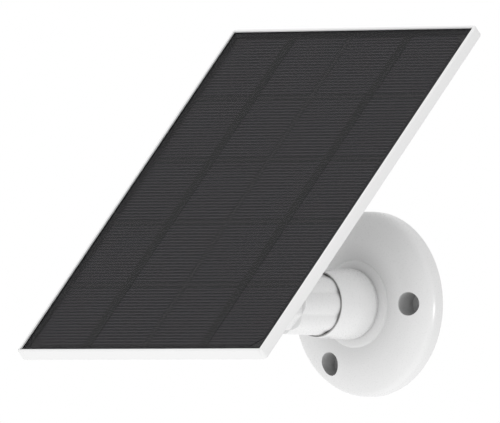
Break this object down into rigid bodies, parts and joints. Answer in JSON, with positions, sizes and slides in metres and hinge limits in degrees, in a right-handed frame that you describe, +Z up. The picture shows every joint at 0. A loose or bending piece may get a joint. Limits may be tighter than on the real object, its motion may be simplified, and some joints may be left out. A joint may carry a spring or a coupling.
{
  "type": "solar panel with wall bracket",
  "caption": "Flat solar panel in a slim frame on a round wall bracket with a swivel neck, a tilt hinge and a threaded stud, to charge an outdoor camera.",
  "frame": {"origin": "middle of the wall base, on the wall plane", "axes": "+Z up, -Y out of the wall towards the viewer, +X to the right as seen from the front"},
  "size_m": [0.124, 0.1356, 0.1414],
  "materials": {
    "bracket_plastic": "satin gloss",
    "panel_plastic": "fine satin",
    "steel": "zinc plated",
    "brass": "turned",
    "friction_plastic": "matte",
    "clear_glass": "anti-reflection coated",
    "silicon": "textured dark silicon",
    "black_ribbon": "black coated",
    "black_film": "matte",
    "cell_laminate": "matte",
    "white_tape": "foam",
    "seal_rubber": "matte",
    "circuit_laminate": "solder mask",
    "chip_plastic": "moulded",
    "ferrite": "pressed",
    "capacitor_can": "drawn",
    "terminal_plastic": "moulded",
    "lead_insulation": "satin"
  },
  "bodies": {
    "base": {"wall_base": "bracket_plastic", "neck_sleeve": "bracket_plastic", "wear_ring": "friction_plastic"},
    "arm": {"swivel_arm": "bracket_plastic", "arm_insert": "brass", "swivel_screw": "steel", "flat_washer": "steel", "spring_washer": "steel", "pivot_bolt": "steel", "pivot_nut": "steel", "tilt_washers": "friction_plastic"},
    "knuckle": {"tilt_knuckle": "bracket_plastic", "mount_stud": "steel"},
    "ring": {"lock_ring": "bracket_plastic"},
    "panel": {"panel_frame": "panel_plastic", "cover_glass": "clear_glass", "bus_ribbons": "black_ribbon", "solar_cells": "silicon", "bonding_film": "black_film", "cell_board": "cell_laminate", "bond_tape": "white_tape", "rear_pod": "panel_plastic", "pod_seal": "seal_rubber", "pod_screws": "steel", "stud_insert": "brass", "cable_grommet": "seal_rubber", "charge_board": "circuit_laminate", "regulator_chip": "chip_plastic", "power_inductor": "ferrite", "smoothing_capacitors": "capacitor_can", "blocking_diode": "chip_plastic", "output_terminal": "terminal_plastic", "cell_leads": "lead_insulation"}
  },
  "joints": [
    {"name": "arm_swivel", "type": "hinge", "parent": "base", "child": "arm", "pos_m": [0, 0, 0], "axis": [0, -1, 0], "continuous": true},
    {"name": "panel_tilt", "type": "hinge", "parent": "arm", "child": "knuckle", "pos_m": [0, -0.065, 0], "axis": [1, 0, 0], "range_deg": [-4, 45]},
    {"name": "panel_spin", "type": "hinge", "parent": "knuckle", "child": "panel", "pos_m": [0, -0.065, 0], "axis": [0, -0.7071, 0.7071], "range_deg": [-90, 90]},
    {"name": "ring_turn", "type": "hinge", "parent": "knuckle", "child": "ring", "pos_m": [0, -0.065, 0], "axis": [0, -0.7071, 0.7071], "continuous": true}
  ]
}
